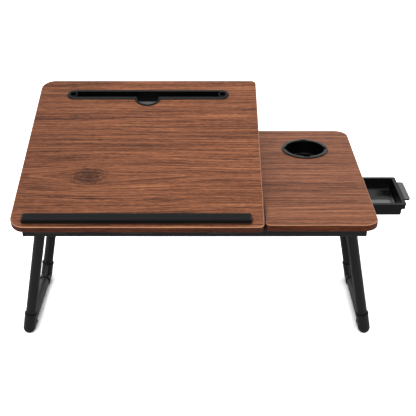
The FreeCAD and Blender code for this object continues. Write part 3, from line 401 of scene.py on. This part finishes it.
# The numbers of a black: roughness, the relief's rate and depth, specular level, spread of the roughness.
materials = {
    "panel_wood": walnut("panel_walnut", PANEL_ORIGIN, TILT, seed=2.0, tone=1.0, fineness=1.0, has_knot=True),
    "shelf_wood": walnut("shelf_walnut", ORIGIN, 0.0, seed=41.0, tone=1.1, fineness=1.25, has_knot=False),
    "steel": black("powder_coat", (0.006, 0.0062, 0.0065), 0.42, 2400.0, 0.03, 0.17),
    # The foot bars are a paler copy of the powder coat: a painted sheen where they catch light.
    "foot_bar": black("foot_bar_painted_sheen", (0.032, 0.032, 0.033), 0.4, 2400.0, 0.03, 0.2),
    "plastic": black("moulded_black", (0.0055, 0.0057, 0.006), 0.42, 1500.0, 0.03, 0.17),
    # The cup's tub is darker than the other moulded black: painted shade in the cup's hollow.
    "tub": black("tub_black", (0.0016, 0.0016, 0.0017), 0.3, 1500.0, 0.02, 0.09),
    "gloss": black("gloss_black", (0.003, 0.003, 0.0032), 0.09, 300.0, 0.003, 0.4, 0.03),
    "rubber": black("soft_black", (0.01, 0.01, 0.01), 0.62, 1800.0, 0.05, 0.12),
    "bar": black("stopper_black", (0.008, 0.0082, 0.0085), 0.42, 2600.0, 0.04, 0.1),
    "tray": tray(),
    "drawer": drawer(),
    "ring": black("ring_black", (0.004, 0.0043, 0.005), 0.2, 1500.0, 0.02, 0.2),
    "zinc": zinc(),
}
SLOT_FINISH = {
    "painted_steel": "steel", "plastic_black": "plastic", "plastic_gloss": "gloss",
    "rubber_black": "rubber", "zinc_steel": "zinc",
}
OWN_FINISH = {
    "left_panel": "panel_wood", "right_panel": "shelf_wood", "stopper_bar": "bar", "tablet_tray": "tray",
    "cup_ring": "ring", "cup_tub": "tub", "drawer_tray": "drawer",
    "left_foot_bar": "foot_bar", "right_foot_bar": "foot_bar",
}


def dress_nodes():
    slots = {part["node"]: part["material_slot"] for part in frame["record"]["subparts"]}
    for name, thing in nodes.items():
        finish = OWN_FINISH.get(name) or SLOT_FINISH[slots[name]]
        thing.data.materials.clear()
        thing.data.materials.append(materials[finish])


dress_nodes()


# ---------------------------------------------------------------- rivet heads on the leg pivots
# The pivots lie this far under the top face. A head's rings are shares of its radius and of its height, from
# the middle out.
PIVOT_DROP = 44 * MM
HEAD_RADIUS, HEAD_HEIGHT, HEAD_SIDES = 4.6 * MM, 1.8 * MM, 24
HEAD_RINGS = [(0.35, 1.0), (0.75, 0.8), (1.0, 0.0)]


def add_head(points, faces, place, axis):
    """Add one domed head, standing on place and facing along axis, to a mesh that is being built."""
    turn = Vector((0, 0, 1)).rotation_difference(axis).to_matrix()
    first = len(points)
    last = first + (len(HEAD_RINGS) - 1) * HEAD_SIDES
    for width, level in HEAD_RINGS:
        for step in range(HEAD_SIDES):
            angle = 2 * math.pi * step / HEAD_SIDES
            reach = width * HEAD_RADIUS
            rim = Vector((reach * math.cos(angle), reach * math.sin(angle), level * HEAD_HEIGHT))
            points.append(place + turn @ rim)
    for here in range(first, last, HEAD_SIDES):
        there = here + HEAD_SIDES
        for step in range(HEAD_SIDES):
            after = (step + 1) % HEAD_SIDES
            faces.append((here + step, there + step, there + after, here + after))
    faces.append([first + step for step in range(HEAD_SIDES)])
    faces.append([last + step for step in reversed(range(HEAD_SIDES))])


def leg_rivets():
    """A head on the front and the back of each bracket, where the leg's pivot ends."""
    points, faces = [], []
    for side in ("left", "right"):
        for end in ("front", "rear"):
            low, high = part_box(f"{side}_{end}_bracket")
            for y, facing in ((low.y, -1), (high.y, 1)):
                place = Vector(((low.x + high.x) / 2, y, ORIGIN.z - PIVOT_DROP))
                add_head(points, faces, place, Vector((0, facing, 0)))
    mesh = bpy.data.meshes.new("leg_rivets")
    mesh.from_pydata(points, [], faces)
    mesh.materials.append(materials["zinc"])
    thing = bpy.data.objects.new("leg_rivets", mesh)
    bpy.context.scene.collection.objects.link(thing)
    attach(thing, "base")


leg_rivets()


# ---------------------------------------------------------------- floor, light and camera
# The floor's colour where it lights the object, where it is mirrored and where the camera sees it. At this
# plain level of light, the last two need more than 1 to look white.
FLOOR_HALF = 20.0
FLOOR_LIT, FLOOR_MIRRORED, FLOOR_SEEN = (0.55, 0.55, 0.55), (1.05, 1.05, 1.05), (2.4, 2.4, 2.4)
AMBIENT = 0.5

# The camera's view: focal length and vanishing centre in pixels of the square image, and the sensor's width
# in mm. Its place is in mm of the base frame, and it looks down by its pitch in degrees.
IMAGE_SIDE, FOCAL_LENGTH, CENTRE_X, SENSOR = 416, 837.0, 212.5, 36
CAMERA_PLACE, CAMERA_PITCH = (29.4, -1180.5, 647.2), 27.56


def floor():
    corners = [(-FLOOR_HALF, -FLOOR_HALF, 0), (FLOOR_HALF, -FLOOR_HALF, 0),
               (FLOOR_HALF, FLOOR_HALF, 0), (-FLOOR_HALF, FLOOR_HALF, 0)]
    mesh = bpy.data.meshes.new("floor")
    mesh.from_pydata(corners, [], [(0, 1, 2, 3)])
    thing = bpy.data.objects.new("floor", mesh)
    bpy.context.scene.collection.objects.link(thing)
    g = Graph(bpy.data.materials.new("floor_white"))
    from_camera, shiny = g.ray_kinds()
    g.set("Base Color", g.mix(from_camera, g.mix(shiny, FLOOR_LIT, FLOOR_MIRRORED), FLOOR_SEEN))
    g.set("Roughness", 0.9)
    g.set("Specular IOR Level", 0.0)
    mesh.materials.append(g.owner)


def world():
    """White where it is seen or mirrored, and a plain ambient light elsewhere."""
    g = Graph(bpy.data.worlds.new("studio"), "Background")
    bpy.context.scene.world = g.owner
    from_camera, shiny = g.ray_kinds()
    seen = g.math("MAXIMUM", from_camera, shiny)
    g.set("Color", (1, 1, 1, 1))
    g.set("Strength", g.math("MULTIPLY_ADD", seen, 1.0 - AMBIENT, AMBIENT))


def sun(name, strength, spread, azimuth, height):
    """A soft distant lamp: azimuth 0 is behind the viewer of the front, height is above the horizon."""
    lamp = bpy.data.lights.new(name, "SUN")
    lamp.energy = strength
    lamp.angle = math.radians(spread)
    thing = bpy.data.objects.new(name, lamp)
    turn, tip = math.radians(azimuth), math.radians(height)
    towards = Vector((math.sin(turn) * math.cos(tip), -math.cos(turn) * math.cos(tip), math.sin(tip)))
    thing.rotation_euler = towards.to_track_quat("Z", "Y").to_euler()
    bpy.context.scene.collection.objects.link(thing)


def camera():
    lens = bpy.data.cameras.new("camera")
    lens.lens = FOCAL_LENGTH / IMAGE_SIDE * SENSOR
    lens.sensor_width = SENSOR
    lens.shift_x = (IMAGE_SIDE / 2 - CENTRE_X) / IMAGE_SIDE
    lens.dof.use_dof = False
    thing = bpy.data.objects.new("camera", lens)
    thing.location = on_base(*CAMERA_PLACE)
    thing.rotation_euler = (math.radians(90 - CAMERA_PITCH), 0, 0)
    bpy.context.scene.collection.objects.link(thing)
    bpy.context.scene.camera = thing


floor()
world()
sun("key", strength=1.2, spread=34, azimuth=-8, height=32)
sun("fill", strength=0.9, spread=90, azimuth=20, height=75)
camera()
bpy.context.scene.view_settings.view_transform = "Standard"
